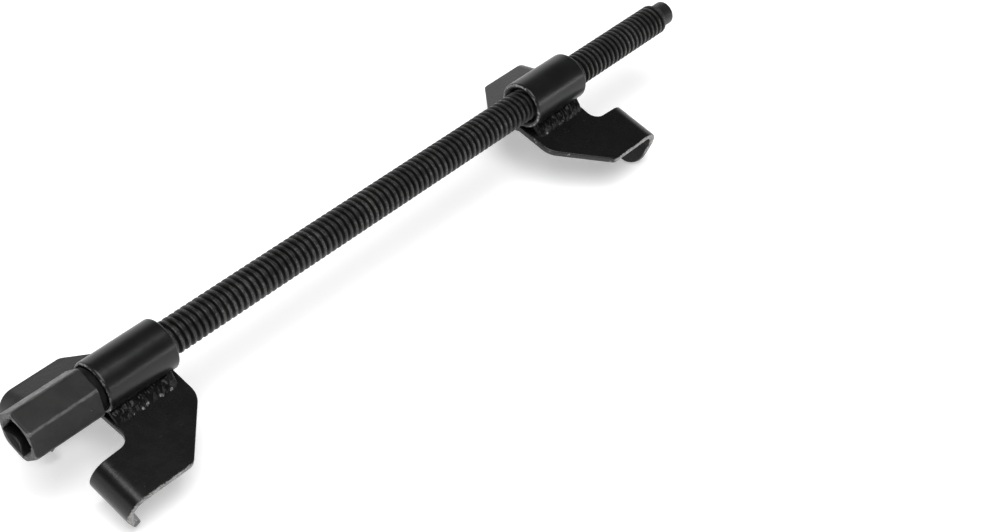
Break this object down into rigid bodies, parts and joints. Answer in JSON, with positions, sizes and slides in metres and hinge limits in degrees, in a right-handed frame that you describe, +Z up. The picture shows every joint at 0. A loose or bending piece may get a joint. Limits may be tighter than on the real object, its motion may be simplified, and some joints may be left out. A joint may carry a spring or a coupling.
{
  "type": "coil spring compressor",
  "caption": "Long threaded screw with a hexagon drive head, a plain jaw at the head and a travelling threaded jaw, each a bent steel plate with two coil hooks.",
  "frame": {"origin": "on the surface the tool stands on, under the middle of the screw", "axes": "+X along the screw from the drive head to the free tip, +Z up from the hooks' tips to the screw, +Y completes the right-handed set"},
  "size_m": [0.381, 0.08, 0.0522],
  "materials": {
    "black_paint": "gloss",
    "painted_weld": "gloss",
    "screw_steel": "satin",
    "head_steel": "satin",
    "washer_steel": "satin"
  },
  "bodies": {
    "drive_jaw": {"drive_jaw_collar": "black_paint", "drive_jaw_plate": "black_paint", "drive_jaw_weld_left": "painted_weld", "drive_jaw_weld_right": "painted_weld"},
    "thrust_washer": {"thrust_washer": "washer_steel"},
    "screw": {"threaded_rod": "screw_steel", "hex_drive_head": "head_steel"},
    "threaded_jaw": {"threaded_jaw_collar": "black_paint", "threaded_jaw_plate": "black_paint", "threaded_jaw_weld_left": "painted_weld", "threaded_jaw_weld_right": "painted_weld"}
  },
  "joints": [
    {"name": "screw_float", "type": "slide", "parent": "drive_jaw", "child": "thrust_washer", "axis": [-1, 0, 0], "range_m": [0, 0.025]},
    {"name": "screw_spin", "type": "hinge", "parent": "thrust_washer", "child": "screw", "pos_m": [-0.1595, 0, 0.04084], "axis": [1, 0, 0], "range_deg": [-7200, 21240]},
    {"name": "jaw_travel", "type": "slide", "parent": "thrust_washer", "child": "threaded_jaw", "axis": [-1, 0, 0], "range_m": [-0.0605, 0.1775]}
  ],
  "couplings": [
    {"joint": "jaw_travel", "follows": "screw_spin", "m_per_rad": 0.00047746}
  ]
}
